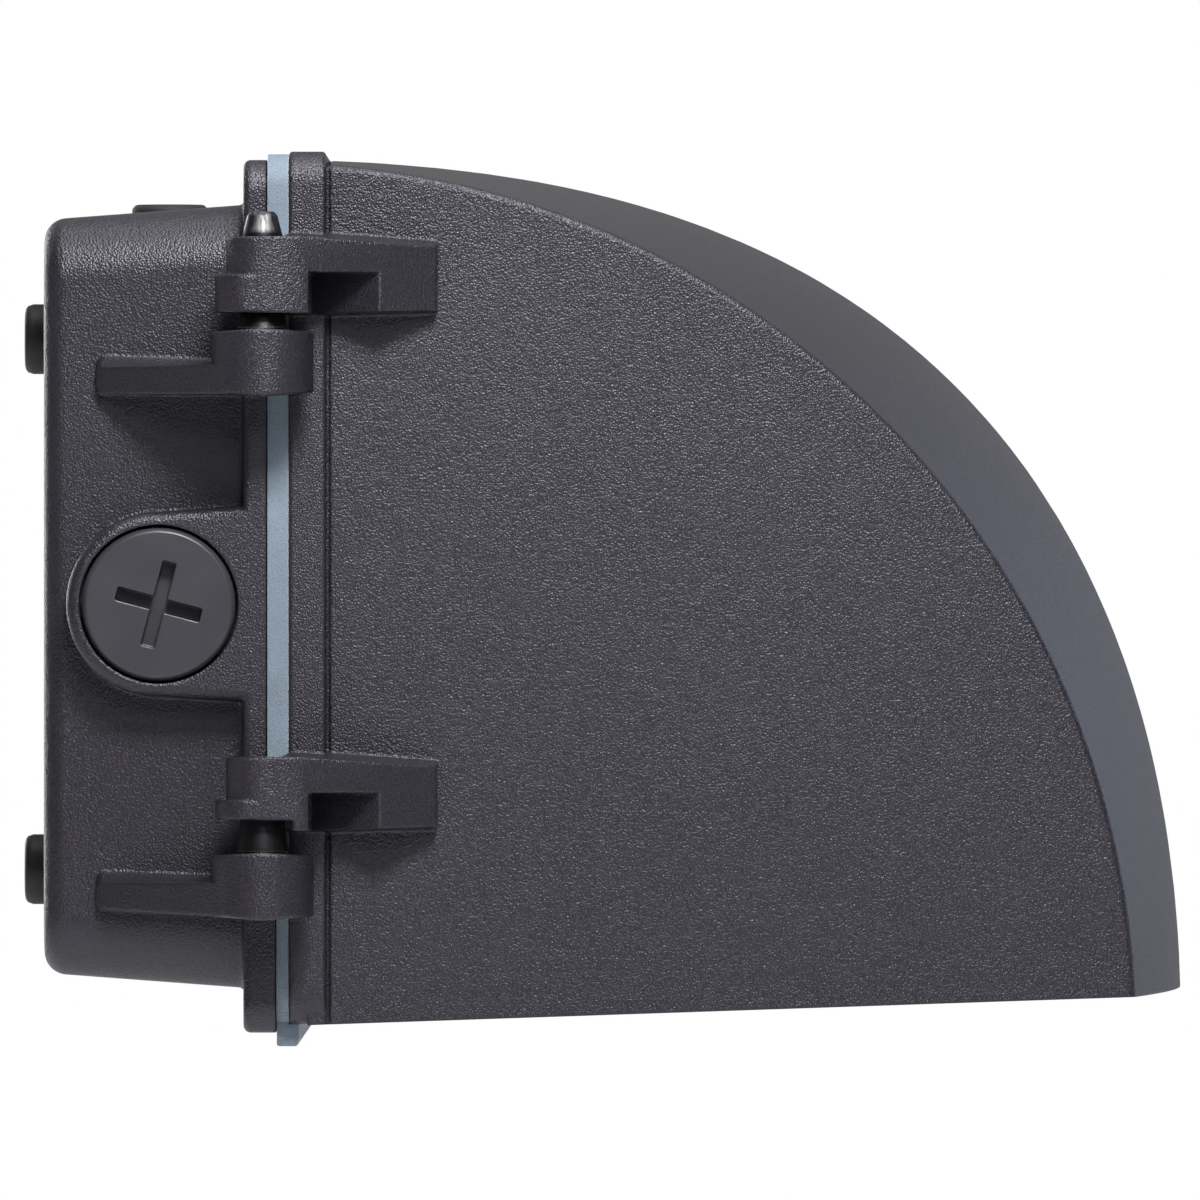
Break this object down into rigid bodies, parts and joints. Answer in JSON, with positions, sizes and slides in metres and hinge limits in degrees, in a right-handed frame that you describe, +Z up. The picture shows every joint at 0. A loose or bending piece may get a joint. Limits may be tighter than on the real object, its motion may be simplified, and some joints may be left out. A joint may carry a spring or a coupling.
{
  "type": "wall pack light",
  "caption": "Full cut-off outdoor wall pack light: die-cast wall box with a side-hinged quarter-round hood over a downward glass lens, held shut by captive screws.",
  "frame": {"origin": "centre of the four wall screw holes, on the wall plane behind the rubber grommets", "axes": "+X out from the wall, +Z up, hinges on the -Y side and door screws on the +Y side"},
  "size_m": [0.2232, 0.3001, 0.1702],
  "materials": {
    "painted_casting": "leather-grain dark graphite powder coat",
    "painted_plug": "smooth semi-gloss dark grey",
    "black_rubber": "moulded, matt",
    "sponge_rubber": "closed-cell sponge, blue-grey",
    "silicone_rubber": "smooth, matt",
    "black_nylon": "moulded",
    "grey_nylon": "moulded",
    "pin_steel": "turned, worn at the tip",
    "screw_steel": "zinc plated",
    "sheet_steel": "galvanised",
    "plain_aluminium": "mill finish",
    "driver_case": "satin",
    "white_mask": "solder mask on a metal core",
    "phosphor": "silicone over phosphor",
    "clear_acrylic": "clear, polished",
    "mirror_sheet": "bright rolled aluminium",
    "lens_glass": "clear, tempered"
  },
  "bodies": {
    "wall_box": {"rear_housing": "painted_casting", "mounting_grommets": "black_rubber", "hinge_side_conduit_plug": "painted_plug", "hinge_side_plug_seal": "silicone_rubber", "latch_side_conduit_plug": "painted_plug", "latch_side_plug_seal": "silicone_rubber", "photocell_button": "black_nylon", "upper_hinge_pin": "pin_steel", "lower_hinge_pin": "pin_steel", "ground_screw": "screw_steel", "terminal_block": "grey_nylon", "terminal_block_screws": "screw_steel"},
    "door": {"door_casting": "painted_casting", "door_gasket": "sponge_rubber", "lens_gasket": "silicone_rubber", "glass_lens": "lens_glass", "lens_frame": "sheet_steel", "lens_frame_screws": "screw_steel", "heat_sink_tray": "plain_aluminium", "tray_screws": "screw_steel", "led_board": "white_mask", "led_emitters": "phosphor", "led_optics": "clear_acrylic", "board_screws": "screw_steel", "reflector": "mirror_sheet", "led_driver": "driver_case", "driver_screws": "screw_steel", "latch_washers": "screw_steel", "latch_retainers": "black_nylon"},
    "upper_screw": {"upper_latch_screw": "screw_steel"},
    "lower_screw": {"lower_latch_screw": "screw_steel"}
  },
  "joints": [
    {"name": "door_swing", "type": "hinge", "parent": "wall_box", "child": "door", "pos_m": [0.0462, -0.143, 0], "axis": [0, 0, -1], "range_deg": [0, 100]},
    {"name": "upper_screw_travel", "type": "slide", "parent": "door", "child": "upper_screw", "axis": [1, 0, 0], "range_m": [0, 0.009]},
    {"name": "lower_screw_travel", "type": "slide", "parent": "door", "child": "lower_screw", "axis": [1, 0, 0], "range_m": [0, 0.009]}
  ]
}
